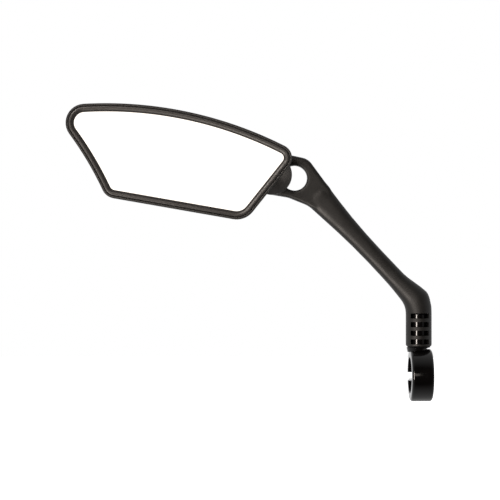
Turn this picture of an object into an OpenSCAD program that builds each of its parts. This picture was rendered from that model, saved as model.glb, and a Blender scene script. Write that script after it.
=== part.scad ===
// Handlebar-clamp bicycle mirror: a slim angular mirror head on a ball joint, a moulded stem with
// a round eye at its top, and a split clamp ring for the bar. The stem's sleeve swivels on a post.
// Millimetres. The origin is the centre of the clamp's bore, +X runs along the bar, away from the
// mirror head, -Y points to the rider and +Z is up.

/* [Bar clamp] */
// Diameter of the handlebar that the ring closes on
bar_d = 22.2; // [21.8:0.1:22.6]
// Outer diameter of the ring
ring_d = 32.4; // [31.5:0.1:33.5]
// Width of the ring along the bar
ring_w = 13.4; // [12.5:0.1:13.6]
// Rounding of the ring's outer edges
ring_edge_r = 1.6; // [0.8:0.1:2]
// Height of the split at the back of the ring
split_h = 5.1; // [4:0.1:6]
// Height of the middle of the split
split_z = -1.65; // [-2.5:0.05:-1]
// Width of each screw ear, which is also its round end's diameter
ear_w = 10; // [9.6:0.1:11]
// Thickness of each screw ear
ear_t = 7.5; // [6.5:0.1:8]
// Distance of the clamp screw behind the bar's axis
screw_y = 22; // [21:0.5:24]

/* [Swivel post] */
// Place of the post's axis along the bar
post_x = -1.2; // [-1.6:0.1:-0.6]
// Diameter of the post that the sleeve turns on
post_d = 10; // [9.6:0.1:10.2]
// Height of the post's top
post_top = 37.5; // [36:0.5:37.5]
// Diameter of the collar's top face, under the sleeve
collar_d = 15; // [14.2:0.1:15.4]
// Taper of the collar's side, which narrows downwards
collar_taper = 12; // [6:0.5:14]
// Height of the collar's top face
collar_top = 17.15; // [16.8:0.05:17.4]
// Slope of the collar's underside, which is lower on the side of the mirror head
collar_slope = 13; // [8:0.5:14]
// Height of the collar's underside at the post's axis
collar_z = 15.9; // [15.4:0.1:16]

/* [Stem] */
// Outer diameter of the sleeve at the stem's foot
sleeve_d = 15.4; // [15.2:0.1:16]
// Height of the sleeve's lower face
sleeve_z = 17.75; // [17.7:0.05:18]
// Width of the windows in the sleeve's front
window_w = 11.1; // [9:0.1:11.4]
// Height of one window
window_h = 3.2; // [2.4:0.1:3.4]
// Distance from one window to the next
window_pitch = 5.3; // [4.6:0.1:5.4]
// Height of the lowest window's lower edge
window_z = 19.3; // [18.6:0.1:19.4]
// Number of windows
window_count = 4; // [2:1:4]
// Thickness of the flat eye plate at the stem's top
eye_t = 7.2; // [6:0.1:8]
// Radius of the round opening in the eye plate
eye_r = 7.7; // [6.5:0.1:8]
// Place of the opening along the bar
eye_x = -77.8; // [-78.4:0.1:-77.4]
// Height of the opening
eye_z = 121.5; // [121:0.1:122]

/* [Ball joint] */
// Place of the ball's centre along the bar
ball_x = -91.9; // [-92.4:0.1:-91.4]
// Place of the ball's centre in front of the stem's middle plane
ball_y = -11.5; // [-12:0.1:-11.5]
// Height of the ball's centre
ball_z = 122.9; // [122:0.1:124]
// Diameter of the ball
ball_d = 10; // [9.8:0.1:10]
// Thickness of the liner between the ball and its socket
liner_t = 1.2; // [1:0.1:1.2]
// Diameter of the round socket boss on the back of the head
boss_d = 24.2; // [23.4:0.1:24.4]

/* [Mirror head outline] */
// Radius of the long arched top edge
top_r = 238.6; // [220:0.1:260]
// Highest point of the top edge, along the bar from the ball
crown_x = -100.2; // [-104:0.1:-96]
// Highest point of the top edge, above the ball
crown_z = 42.6; // [41:0.1:44]
// Outermost point of the head, along the bar from the ball
nose_x = -124.3; // [-126:0.1:-122]
// Radius of the upper outer corner
nose_r = 11.4; // [9:0.1:12]
// Slope of the outer edge where it leaves that corner
outer_slope = 53.8; // [53:0.1:55]
// Radius of the hollow outer edge
outer_r = 205; // [180:1:400]
// Radius of the lower outer corner
heel_r = 8.6; // [7:0.1:10]
// Slope of the straight lower edge
lower_slope = 9.9; // [9:0.1:11]
// Sharp lower inner corner, along the bar from the ball
toe_x = -16.3; // [-17.5:0.1:-15.5]
// Sharp lower inner corner, above the ball
toe_z = -28.4; // [-29:0.1:-27]
// Radius of the lower inner corner
toe_r = 12.5; // [9:0.1:14]
// Slope of the straight inner edge
inner_slope = 51.4; // [49:0.1:54]
// Radius of the upper inner corner
peak_r = 8.1; // [7:0.1:9]

/* [Mirror head depth] */
// Distance from the ball's centre forward to the shell's back face
shell_back = 3; // [2.8:0.1:3.2]
// Depth of the shell from its back face to its front edge
shell_depth = 9.7; // [9.6:0.1:10]
// Thickness of the shell's rim
rim_t = 1.3; // [1.1:0.1:1.4]
// Thickness of the shell's floor
floor_t = 2; // [1.6:0.1:2]
// Thickness of the mirror glass
glass_t = 2; // [1.8:0.1:2.1]
// Width of the frame around the visible glass, shell rim and bezel together
band_w = 5; // [4.6:0.1:5.4]

/* [Hidden] */
$fn = 64;

// Small amounts: an overshoot for cuts, the gap between faces that slide on each other, and the
// radial clearance of the running fits
over = 1;
slide_gap = 0.05;
run_gap = 0.05;

// Bar clamp
bar_r = bar_d / 2;
ring_r = ring_d / 2;
split_top = split_z + split_h / 2;
split_bottom = split_z - split_h / 2;
screw_r = 2;
screw_hole_r = 2.2;
screw_head_r = 3.5;
screw_head_h = 4;
screw_end = 0.6;
hex_key = 3;
hex_key_depth = 2;
clamp_washer_r = 4.4;
clamp_washer_t = 0.8;
m4_nut_af = 7;
m4_nut_h = 3.2;
screw_seat_z = split_bottom - ear_t;

// Swivel post and what holds the sleeve on it
post_r = post_d / 2;
collar_foot_r = collar_d / 2 - (collar_top - bar_r) * tan(collar_taper);
bolt_r = 2.5;
bolt_head_r = 4.25;
bolt_head_h = 3.4;
bolt_head_z = bar_r + 0.25;
counterbore_r = 4.6;
spring_washer_t = 0.9;
counterbore_z = bolt_head_z + bolt_head_h + spring_washer_t + slide_gap;
insert_r = 3.6;
insert_z = post_top + 1.6;
insert_h = 6;
bolt_short = 0.5;
sleeve_bore_r = post_r + run_gap;
sleeve_bore_top = post_top + 0.5;
sleeve_washer_r = 7;

// Stem. Each station down the stem is x, z, half width, half thickness, the slope of the axis, and
// the power that squares the section up from an ellipse, which is 1 where it is round.
sleeve_r = sleeve_d / 2;
STATIONS = [[-70.1, 117, 7.9, 2.4, -42, 0.8], [-63.3, 110.7, 8.4, 4, -43.6, 0.8],
            [-55.5, 102.1, 7.25, 4.4, -46.5, 0.8], [-46.95, 92.95, 6.2, 4.6, -46.8, 0.8],
            [-37.9, 83.4, 5.5, 4.8, -46.8, 0.8], [-28.75, 73.75, 5.25, 5, -46.6, 0.8],
            [-19.5, 63.9, 5.3, 5.4, -46.8, 0.8], [-14.55, 58.55, 5.45, 5.8, -47.5, 0.85],
            [-12.15, 56.15, 5.75, 6.1, -50, 0.88], [-6.7, 51.2, 7, 6.8, -59.4, 0.93],
            [-3.75, 48.3, 7.8, 7.3, -66, 0.97], [-2.3, 45.3, 7.9, 7.6, -74, 1],
            [-1.35, 41.4, 7.8, 7.7, -84, 1], [post_x, 38, sleeve_r, sleeve_r, -90, 1],
            [post_x, sleeve_z, sleeve_r, sleeve_r, -90, 1]];
section_sides = 32;
// The eye plate is stretched round five circles of x, z and radius: its end behind the stud, the
// shoulder over the opening, the belly under it, the neck beside it, and the root of the beam.
PLATE_END = [ball_x, ball_z + 1.7, 12.9];
PLATE_SHOULDER = [-74.9, 124.9, 9.1];
PLATE_BELLY = [-78.5, 121, 11.6];
PLATE_NECK = [-66.3, 113.3, 9];
PLATE_ROOT = [-63.3, 110.7, 8.4];

// Ball joint, measured along Y from the ball's centre, backwards positive
ball = [ball_x, ball_y, ball_z];
ball_r = ball_d / 2;
liner_in_r = ball_r + 0.03;
liner_out_r = ball_r + liner_t;
seat_r = liner_out_r + run_gap;
liner_mouth_r = 4.6;
stud_neck_r = 2.5;
stud_flange_r = 4.6;
stud_flange_t = 1.3;
stud_hole_r = stud_neck_r + run_gap;
stud_washer_r = 5;
stud_washer_t = 1;
stud_nut_af = 8;
stud_nut_h = 4.7;
stud_end_y = 10.2;
boss_r = boss_d / 2;
socket_ring_t = 3.6;
socket_ring_step = 1.8;
socket_ring_end_r = 8.6;
socket_screw_pitch_r = 9.2;
socket_screw_r = 1.1;
socket_screw_head_r = 2;
socket_screw_head_h = 1.3;
socket_screw_seat = 1.6;
socket_screw_tip = -3.6;
socket_screw_count = 3;
socket_screw_angle = 30;
socket_screw_key = 1.5;
socket_screw_key_depth = 0.9;

// Mirror head, as places along Y
back_y = ball_y - shell_back;
floor_y = back_y - floor_t;
rim_y = back_y - shell_depth;
ledge_h = 2.7;
ledge_y = floor_y - ledge_h;
carrier_t = 1;
pad_t = 0.7;
carrier_y = ledge_y - carrier_t;
pad_y = carrier_y - pad_t;
glass_y = pad_y - glass_t;
bezel_y = glass_y - 1.7;
bezel_gap = 0.3;
glass_inset = 3.4;
carrier_inset = 3.5;
pad_inset = 6;
skirt_t = 1.6;
boss_wall = 1.2;
rib_t = 1.5;
rib_pitch = 22;
rib_count = 5;
ledge_inset = 3.7;
ledge_w = 1.5;
floor_bevel = 1.1;

// ---- Outline of the head in its own plane, measured from the ball ----

function direction(a) = [cos(a), sin(a)];
function heading(p) = atan2(p.y, p.x);
function arc(c, r, a0, a1, n) = [for (k = [0 : n]) c + r * direction(a0 + (a1 - a0) * k / n)];
function open_arc(c, r, a0, a1, n) = [for (k = [0 : n - 1]) c + r * direction(a0 + (a1 - a0) * k / n)];
// Where the line from p along the unit vector u first or last meets a circle (side is -1 or 1)
function on_circle(p, u, c, r, side) =
    let (d = p - c, b = d * u) p + u * (side * sqrt(b * b - d * d + r * r) - b);

top_c = [crown_x, crown_z - top_r];
nose_c = let (x = nose_x + nose_r)
    [x, top_c.y + sqrt(pow(top_r - nose_r, 2) - pow(x - top_c.x, 2))];
outer_c = nose_c - (nose_r + outer_r) * [sin(outer_slope), cos(outer_slope)];
toe = [toe_x, toe_z];
lower_dir = direction(-lower_slope);
lower_normal = [sin(lower_slope), cos(lower_slope)];
inner_dir = direction(inner_slope);
inner_normal = [-sin(inner_slope), cos(inner_slope)];
heel_c = on_circle(toe + heel_r * lower_normal, lower_dir, outer_c, outer_r + heel_r, 1);
toe_half = (180 - lower_slope - inner_slope) / 2;
toe_c = toe + toe_r / sin(toe_half) * direction(inner_slope + toe_half);
peak_c = on_circle(toe + peak_r * inner_normal, inner_dir, top_c, top_r - peak_r, 1);

peak_a = heading(peak_c - top_c);
nose_a = heading(nose_c - top_c);
outer_a0 = heading(nose_c - outer_c);
outer_a1 = heading(heel_c - outer_c);
lower_a = 270 - lower_slope;
inner_a = 270 + inner_slope;

// The outline drawn parallel to itself, i millimetres inside the outer edge
function outline(i) = concat(
    open_arc(top_c, top_r - i, peak_a, nose_a, 16),
    open_arc(nose_c, nose_r - i, nose_a, outer_a0 + 180, 9),
    open_arc(outer_c, outer_r + i, outer_a0, outer_a1, 5),
    arc(heel_c, heel_r - i, outer_a1 + 180, lower_a, 5),
    arc(toe_c, toe_r - i, lower_a, inner_a, 6),
    open_arc(peak_c, peak_r - i, inner_a - 360, peak_a, 9));

function level(i, y) = [for (p = outline(i)) [ball_x + p.x, y, ball_z + p.y]];
function side_faces(a, b, n) = [for (i = [0 : n - 1]) let (j = (i + 1) % n)
    each [[a + i, a + j, b + j], [a + i, b + j, b + i]]];

// A closed solid through a list of loops that have the same number of points
module loft(loops) {
    n = len(loops[0]);
    last = len(loops) - 1;
    polyhedron(
        points = [for (loop = loops) each loop],
        faces = concat(
            [[for (i = [n - 1 : -1 : 0]) i], [for (i = [0 : n - 1]) last * n + i]],
            [for (k = [0 : last - 1]) each side_faces(k * n, (k + 1) * n, n)]));
}

// A solid in the head's outline through levels of [inset, y], from the front to the back
module head_solid(levels) {
    loft([for (l = levels) level(l[0], l[1])]);
}

// A ring whose section is a closed loop of [inset, y]: back along the outside, then forwards inside
module head_ring(section) {
    n = len(outline(0));
    m = len(section);
    polyhedron(
        points = [for (s = section) each level(s[0], s[1])],
        faces = [for (k = [0 : m - 1]) each side_faces(k * n, ((k + 1) % m) * n, n)]);
}

// A flat plate in the outline's shape, from back_face forwards
module head_plate(inset, back_face, thickness) {
    translate([ball_x, back_face, ball_z]) rotate([90, 0, 0])
        linear_extrude(thickness) polygon(outline(inset));
}

// ---- Shared shapes ----

// A cylinder along Y, from the plane y0 to the plane y1
module y_cylinder(x, z, r, y0, y1) {
    translate([x, y0, z]) rotate([-90, 0, 0]) cylinder(r = r, h = y1 - y0);
}

// A cylinder standing on the height z0
module z_cylinder(x, y, r, z0, z1) {
    translate([x, y, z0]) cylinder(r = r, h = z1 - z0);
}

module hexagon(af) {
    circle(r = af / 2 / cos(30), $fn = 6);
}

// A shape turned about the Y axis through the ball, from a profile of [radius, y from the ball]
module turned_at_ball() {
    translate(ball) rotate([-90, 0, 0]) rotate_extrude() children();
}

// ---- Bar clamp ----

module ring_profile() {
    mid = ring_w / 2 - ring_edge_r;
    difference() {
        union() {
            translate([bar_r - over, -ring_w / 2])
                square([ring_r - ring_edge_r - bar_r + over, ring_w]);
            translate([bar_r, -mid]) square([ring_r - bar_r, 2 * mid]);
            for (s = [-1, 1]) translate([ring_r - ring_edge_r, s * mid]) circle(ring_edge_r);
        }
        translate([0, -ring_w]) square([bar_r, 2 * ring_w]);
    }
}

module ear(z0) {
    z_cylinder(0, screw_y, ear_w / 2, z0, z0 + ear_t);
    translate([-ear_w / 2, bar_r, z0]) cube([ear_w, screw_y - bar_r, ear_t]);
}

module collar() {
    difference() {
        translate([post_x, 0, bar_r])
            cylinder(r1 = collar_foot_r, r2 = collar_d / 2, h = collar_top - bar_r);
        translate([post_x, 0, collar_z]) rotate([0, -collar_slope, 0])
            translate([-ring_w, -ring_w, -ring_d]) cube([2 * ring_w, 2 * ring_w, ring_d]);
    }
}

module clamp_ring() {
    color("#151413") difference() {
        union() {
            rotate([0, 90, 0]) rotate_extrude() ring_profile();
            ear(split_top);
            ear(split_bottom - ear_t);
            collar();
            z_cylinder(post_x, 0, post_r, ring_r - ring_edge_r, post_top);
        }
        rotate([0, 90, 0]) cylinder(r = bar_r, h = 4 * ring_w, center = true);
        translate([-ring_w, bar_r / 2, split_bottom]) cube([2 * ring_w, ring_d, split_h]);
        z_cylinder(0, screw_y, screw_hole_r, screw_seat_z - over, split_top + ear_t + over);
        translate([0, screw_y, split_top + ear_t - m4_nut_h])
            linear_extrude(m4_nut_h + over) hexagon(m4_nut_af + 2 * run_gap);
        z_cylinder(post_x, 0, bolt_r + run_gap, 0, post_top + over);
        z_cylinder(post_x, 0, counterbore_r, 0, counterbore_z);
    }
}

// M4 socket head screw, head down
module clamp_screw() {
    head_top = screw_seat_z - clamp_washer_t - slide_gap;
    color("#3a3a3c") difference() {
        union() {
            z_cylinder(0, screw_y, screw_head_r, head_top - screw_head_h, head_top);
            z_cylinder(0, screw_y, screw_r, head_top - over, split_top + ear_t + screw_end);
        }
        translate([0, screw_y, head_top - screw_head_h - over])
            linear_extrude(hex_key_depth + over) hexagon(hex_key);
    }
}

module clamp_washer() {
    color("#8c8c8e") difference() {
        z_cylinder(0, screw_y, clamp_washer_r, screw_seat_z - clamp_washer_t, screw_seat_z);
        z_cylinder(0, screw_y, screw_hole_r, screw_seat_z - over - clamp_washer_t, screw_seat_z + over);
    }
}

module clamp_nut() {
    z0 = split_top + ear_t - m4_nut_h;
    color("#8c8c8e") difference() {
        translate([0, screw_y, z0]) linear_extrude(m4_nut_h) hexagon(m4_nut_af);
        z_cylinder(0, screw_y, screw_r + run_gap, z0 - over, z0 + m4_nut_h + over);
    }
}

// ---- Stem ----

function squared(v, power) = sign(v) * pow(abs(v), power);
function section(s) = let (t = direction(s[4]), across = [-t.y, t.x])
    [for (k = [0 : section_sides - 1]) let (
        a = 360 * k / section_sides,
        p = [s[0], s[1]] + across * s[2] * squared(cos(a), s[5]))
        [p.x, s[3] * squared(sin(a), s[5]), p.y]];

module disc(c) {
    translate([c[0], c[1]]) circle(c[2]);
}

module eye_plate() {
    translate([0, eye_t / 2, 0]) rotate([90, 0, 0]) linear_extrude(eye_t) {
        hull() {
            disc(PLATE_END);
            disc(PLATE_SHOULDER);
            disc(PLATE_BELLY);
        }
        hull() {
            disc(PLATE_SHOULDER);
            disc(PLATE_BELLY);
            disc(PLATE_NECK);
        }
        hull() {
            disc(PLATE_NECK);
            disc(PLATE_ROOT);
        }
    }
}

module sleeve_windows() {
    for (k = [0 : window_count - 1])
        translate([post_x - window_w / 2, -sleeve_d, window_z + k * window_pitch])
            cube([window_w, sleeve_d, window_h]);
}

module stem_arm() {
    half_t = eye_t / 2;
    color("#1e1c1b") difference() {
        union() {
            loft([for (s = STATIONS) section(s)]);
            eye_plate();
        }
        y_cylinder(eye_x, eye_z, eye_r, -sleeve_d, sleeve_d);
        y_cylinder(ball_x, ball_z, stud_hole_r, -half_t - over, half_t + over);
        z_cylinder(post_x, 0, sleeve_bore_r, sleeve_z - over, sleeve_bore_top);
        z_cylinder(post_x, 0, bolt_r + run_gap, sleeve_z, insert_z + over);
        z_cylinder(post_x, 0, insert_r, insert_z, insert_z + insert_h);
        sleeve_windows();
    }
}

// Brass nut moulded into the stem above the sleeve
module threaded_insert() {
    color("#b08d4f") difference() {
        z_cylinder(post_x, 0, insert_r, insert_z, insert_z + insert_h);
        z_cylinder(post_x, 0, bolt_r, insert_z - over, insert_z + insert_h + over);
    }
}

// M5 low head bolt, put in from the ring's bore
module swivel_bolt() {
    color("#8c8c8e") difference() {
        union() {
            z_cylinder(post_x, 0, bolt_head_r, bolt_head_z, bolt_head_z + bolt_head_h);
            z_cylinder(post_x, 0, bolt_r, bolt_head_z + over, insert_z + insert_h - bolt_short);
        }
        translate([post_x, 0, bolt_head_z - over]) linear_extrude(hex_key_depth + over) hexagon(hex_key);
    }
}

module bolt_spring_washer() {
    z0 = bolt_head_z + bolt_head_h;
    color("#8c8c8e") difference() {
        z_cylinder(post_x, 0, bolt_head_r, z0, z0 + spring_washer_t);
        z_cylinder(post_x, 0, bolt_r + run_gap, z0 - over, z0 + spring_washer_t + over);
    }
}

// Friction washer between the collar and the sleeve
module sleeve_washer() {
    color("#26262a") difference() {
        z_cylinder(post_x, 0, sleeve_washer_r, collar_top + slide_gap, sleeve_z);
        z_cylinder(post_x, 0, sleeve_bore_r, collar_top - over, sleeve_z + over);
    }
}

// ---- Ball joint ----

module ball_stud() {
    flange_y = -eye_t / 2 - slide_gap;
    color("#a9abad") union() {
        translate(ball) sphere(ball_r);
        y_cylinder(ball_x, ball_z, stud_neck_r, ball_y, stud_end_y);
        y_cylinder(ball_x, ball_z, stud_flange_r, flange_y - stud_flange_t, flange_y);
    }
}

module stud_washer() {
    y0 = eye_t / 2 + slide_gap;
    color("#8c8c8e") difference() {
        y_cylinder(ball_x, ball_z, stud_washer_r, y0, y0 + stud_washer_t);
        y_cylinder(ball_x, ball_z, stud_neck_r, y0 - over, y0 + stud_washer_t + over);
    }
}

module stud_nut() {
    y0 = eye_t / 2 + slide_gap + stud_washer_t;
    color("#8c8c8e") difference() {
        translate([ball_x, y0, ball_z]) rotate([-90, 0, 0])
            linear_extrude(stud_nut_h) hexagon(stud_nut_af);
        y_cylinder(ball_x, ball_z, stud_neck_r, y0 - over, y0 + stud_nut_h + over);
    }
}

module ball_liner() {
    color("#d8d6cc") turned_at_ball() difference() {
        circle(liner_out_r);
        circle(liner_in_r);
        square([liner_mouth_r, 2 * ball_r]);
        translate([-2 * ball_r, -2 * ball_r]) square([2 * ball_r, 4 * ball_r]);
    }
}

module screw_circle() {
    for (k = [0 : socket_screw_count - 1])
        translate(ball) rotate([0, socket_screw_angle + k * 360 / socket_screw_count, 0])
            translate([socket_screw_pitch_r, 0, 0]) rotate([-90, 0, 0]) children();
}

// Rear half of the socket, with the mouth that the stud tilts in
module socket_ring() {
    color("#1b1a19") difference() {
        turned_at_ball() polygon([[0, 0], [boss_r, 0], [boss_r, socket_ring_step],
                                  [socket_ring_end_r, socket_ring_t], [0, socket_ring_t]]);
        translate(ball) sphere(seat_r);
        screw_circle() {
            translate([0, 0, -over]) cylinder(r = socket_screw_r, h = socket_ring_t + 2 * over);
            translate([0, 0, socket_screw_seat])
                cylinder(r = socket_screw_head_r + 2 * run_gap, h = socket_ring_t);
        }
    }
}

module socket_screws() {
    color("#3a3a3c") screw_circle() difference() {
        union() {
            translate([0, 0, socket_screw_tip])
                cylinder(r = socket_screw_r, h = socket_screw_seat - socket_screw_tip);
            translate([0, 0, socket_screw_seat])
                cylinder(r = socket_screw_head_r, h = socket_screw_head_h);
        }
        translate([0, 0, socket_screw_seat + socket_screw_head_h - socket_screw_key_depth])
            linear_extrude(socket_screw_head_h) hexagon(socket_screw_key);
    }
}

// ---- Mirror head ----

// Round socket boss: a dome at the front, a seat for the liner behind
module socket_boss() {
    top = seat_r + boss_wall;
    dome_r = (boss_r * boss_r + pow(top - shell_back, 2)) / (top - shell_back) / 2;
    turned_at_ball() intersection() {
        translate([0, dome_r - top]) circle(dome_r);
        translate([0, -top]) square([boss_r, top]);
    }
}

module shell_inside() {
    head_solid([[rim_t, rim_y - over], [rim_t, floor_y - floor_bevel], [rim_t + floor_bevel, floor_y]]);
}

// Ribs on the shell's floor and the ledge that the glass carrier stands on
module shell_ribs() {
    inner = ledge_inset + ledge_w;
    intersection() {
        shell_inside();
        for (k = [1 : rib_count])
            translate([ball_x - k * rib_pitch, ledge_y, ball_z + toe_z])
                cube([rib_t, ledge_h, crown_z - toe_z]);
    }
    head_ring([[ledge_inset, ledge_y], [ledge_inset, floor_y + slide_gap],
               [inner, floor_y + slide_gap], [inner, ledge_y]]);
}

module back_shell() {
    color("#1b1a19") difference() {
        union() {
            difference() {
                head_solid([[0.5, rim_y], [0, rim_y + 0.6], [0, back_y - 4.2], [0.7, back_y - 1.9],
                            [2.4, back_y - 0.5], [4.6, back_y]]);
                shell_inside();
            }
            shell_ribs();
            socket_boss();
        }
        translate(ball) sphere(seat_r);
        screw_circle() translate([0, 0, socket_screw_tip]) cylinder(r = socket_screw_r, h = 2 * boss_r);
    }
}

module glass_carrier() {
    color("#2a2a2c") head_plate(carrier_inset, ledge_y, carrier_t);
}

module adhesive_pad() {
    color("#46464a") head_plate(pad_inset, carrier_y, pad_t);
}

module mirror_glass() {
    color("#e8edf0") head_plate(glass_inset, pad_y, glass_t);
}

// Snap-in frame: a bead whose crest is near its outer side and whose face slopes gently down to the
// glass, and a skirt down the side of the glass
module bezel() {
    outside = rim_t + bezel_gap;
    skirt = outside + skirt_t;
    skirt_y = ledge_y - 2 * slide_gap;
    bead_h = glass_y - bezel_y;
    color("#211f1e") head_ring([[outside + 0.3, bezel_y + 0.4 * bead_h], [outside, bezel_y + 0.8 * bead_h],
                                [outside, skirt_y], [skirt, skirt_y], [skirt, glass_y], [band_w, glass_y],
                                [band_w - 0.2, glass_y - 0.4 * bead_h],
                                [(outside + band_w) / 2, bezel_y + 0.15 * bead_h],
                                [outside + 0.9, bezel_y]]);
}

clamp_ring();
clamp_screw();
clamp_washer();
clamp_nut();
stem_arm();
threaded_insert();
swivel_bolt();
bolt_spring_washer();
sleeve_washer();
ball_stud();
stud_washer();
stud_nut();
ball_liner();
back_shell();
socket_ring();
socket_screws();
glass_carrier();
adhesive_pad();
mirror_glass();
bezel();
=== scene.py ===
"""A handlebar mirror, finished piece by piece in the order it is put together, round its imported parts."""

import math

import bmesh
import bpy
from mathutils import Matrix, Vector


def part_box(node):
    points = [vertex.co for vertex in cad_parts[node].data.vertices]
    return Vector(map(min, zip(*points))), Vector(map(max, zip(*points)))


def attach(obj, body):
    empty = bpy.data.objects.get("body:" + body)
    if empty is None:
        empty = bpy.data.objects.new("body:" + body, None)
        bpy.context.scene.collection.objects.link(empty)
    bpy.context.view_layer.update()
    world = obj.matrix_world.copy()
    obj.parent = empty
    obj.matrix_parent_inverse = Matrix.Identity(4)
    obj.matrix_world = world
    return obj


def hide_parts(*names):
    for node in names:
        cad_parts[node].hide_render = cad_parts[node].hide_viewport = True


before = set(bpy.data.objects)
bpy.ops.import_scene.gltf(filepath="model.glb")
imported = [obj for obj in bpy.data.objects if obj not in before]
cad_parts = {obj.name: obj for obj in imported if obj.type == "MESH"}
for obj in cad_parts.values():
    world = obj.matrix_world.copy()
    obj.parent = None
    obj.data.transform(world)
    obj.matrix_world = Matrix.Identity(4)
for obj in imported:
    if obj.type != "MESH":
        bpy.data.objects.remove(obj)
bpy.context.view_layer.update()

# ---- Clamp ring ----
# One moulding in black glass-filled nylon: a split ring for a 22.2 mm bar, the two screw ears behind
# it, a tapered collar cut off at a slope, and the hollow post that the stem swivels on. Its mould is
# polished, so it comes out glossy.

# Lengths are worked out in millimetres, and a finished piece is brought to metres at the end.
MM = 0.001
WELD = 0.0005
FULL_TURN = 2 * math.pi

bar_r = 11.1
ring_r = 16.2
ring_half_w = 6.7
ring_edge_r = 1.6
split_low, split_high = -4.2, 0.9
ear_half_w = 5
ear_t = 7.5
screw_y = 22
post_x = -1.2
post_r = 5
post_top = 37.5
collar_r = 7.5
collar_taper = math.tan(math.radians(12))
collar_top = 17.15
collar_foot = 15.9
collar_slope = math.radians(13)
counterbore_r = 4.6
counterbore_top = 15.7
bolt_way_r = 2.55
screw_way_r = 2.2
screw_nut_flats = 7
screw_nut_t = 3.2
m4_r, m4_pitch = 2, 0.7
m5_r, m5_pitch = 2.5, 0.8


def turned(section, steps=96, closed=False):
    """A solid turned about Z from its half section of (radius, height) points."""
    solid = bmesh.new()
    verts = [solid.verts.new((radius, 0, height)) for radius, height in section]
    pairs = list(zip(verts, verts[1:]))
    if closed:
        pairs.append((verts[-1], verts[0]))
    edges = [solid.edges.new(pair) for pair in pairs]
    bmesh.ops.spin(solid, geom=verts + edges, axis=(0, 0, 1), angle=FULL_TURN, steps=steps, use_merge=True)
    bmesh.ops.remove_doubles(solid, verts=solid.verts, dist=WELD)
    bmesh.ops.recalc_face_normals(solid, faces=solid.faces)
    return solid


def plate(corners, radii, low, high, segments=10):
    """A flat plate from one height to another, with each corner rounded to its own radius."""
    solid = bmesh.new()
    verts = [solid.verts.new((x, y, low)) for x, y in corners]
    solid.faces.new(verts)
    for vert, radius in zip(verts, radii):
        if radius:
            bmesh.ops.bevel(solid, geom=[vert], offset=radius, offset_type="WIDTH", affect="VERTICES",
                            segments=segments, profile=0.5, material=-1)
    grown = bmesh.ops.extrude_face_region(solid, geom=solid.faces[:])
    top = [part for part in grown["geom"] if isinstance(part, bmesh.types.BMVert)]
    bmesh.ops.translate(solid, vec=(0, 0, high - low), verts=top)
    bmesh.ops.recalc_face_normals(solid, faces=solid.faces)
    return solid


def placed(solid, place, degrees=0, axis="X"):
    """Turns a solid about an axis through the origin, then carries it to its place."""
    solid.transform(Matrix.Translation(place) @ Matrix.Rotation(math.radians(degrees), 4, axis))
    return solid


def combined(base, tool, operation):
    """The base joined to a tool solid, cut by it, or kept where the two overlap."""
    blanks = []
    for solid in (base, tool):
        mesh = bpy.data.meshes.new("blank")
        solid.to_mesh(mesh)
        solid.free()
        blanks.append(bpy.data.objects.new("blank", mesh))
        bpy.context.collection.objects.link(blanks[-1])
    modifier = blanks[0].modifiers.new("combine", "BOOLEAN")
    modifier.operation = operation
    modifier.object = blanks[1]
    result = bmesh.new()
    result.from_object(blanks[0], bpy.context.evaluated_depsgraph_get())
    for blank in blanks:
        bpy.data.meshes.remove(blank.data)
    bmesh.ops.remove_doubles(result, verts=result.verts, dist=WELD)
    bmesh.ops.dissolve_degenerate(result, edges=result.edges, dist=WELD)
    bmesh.ops.delete(result, geom=[vert for vert in result.verts if not vert.link_faces], context="VERTS")
    return result


def hexagon(across_flats, low, high):
    """A hexagonal bar that stands on a height."""
    return turned([(0, low), (across_flats / 2 / math.cos(math.pi / 6), low),
                   (across_flats / 2 / math.cos(math.pi / 6), high), (0, high)], steps=6)


def finished(solid, name, material, edge_break=0.0):
    """Makes the piece in metres from a solid in millimetres. Its sharp edges are broken when an edge break is
    given, and otherwise shaded sharp.
    """
    bmesh.ops.scale(solid, vec=(MM, MM, MM), verts=solid.verts)
    mesh = bpy.data.meshes.new(name)
    solid.to_mesh(mesh)
    solid.free()
    mesh.shade_smooth()
    mesh.materials.append(material)
    piece = bpy.data.objects.new(name, mesh)
    bpy.context.collection.objects.link(piece)
    if edge_break:
        rounding = piece.modifiers.new("edge_break", "BEVEL")
        rounding.width = edge_break * MM
        rounding.segments = 2
        rounding.limit_method = "ANGLE"
        rounding.angle_limit = math.radians(35)
        rounding.harden_normals = True
    else:
        mesh.set_sharp_from_angle(angle=math.radians(35))
    return piece


def srgb(code):
    """A colour given as a hex code, turned to linear light."""
    channels = [int(code[i:i + 2], 16) / 255 for i in (1, 3, 5)]
    return [c / 12.92 if c <= 0.04045 else ((c + 0.055) / 1.055) ** 2.4 for c in channels] + [1]


def add_node(tree, kind, settings=(), inputs=()):
    """Adds a node, sets its own settings, and sets or links each of its inputs."""
    node = tree.nodes.new(kind)
    for name, value in dict(settings).items():
        setattr(node, name, value)
    for name, value in dict(inputs).items():
        if isinstance(value, bpy.types.NodeSocket):
            tree.links.new(value, node.inputs[name])
        else:
            node.inputs[name].default_value = value
    return node


def new_material(name):
    """An empty material, its node tree, its shader and the coordinates that its patterns read."""
    material = bpy.data.materials.new(name)
    material.use_nodes = True
    tree = material.node_tree
    tree.nodes.clear()
    shader = add_node(tree, "ShaderNodeBsdfPrincipled")
    add_node(tree, "ShaderNodeOutputMaterial", inputs={"Surface": shader.outputs["BSDF"]})
    return material, tree, shader, add_node(tree, "ShaderNodeTexCoord").outputs["Object"]


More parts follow.
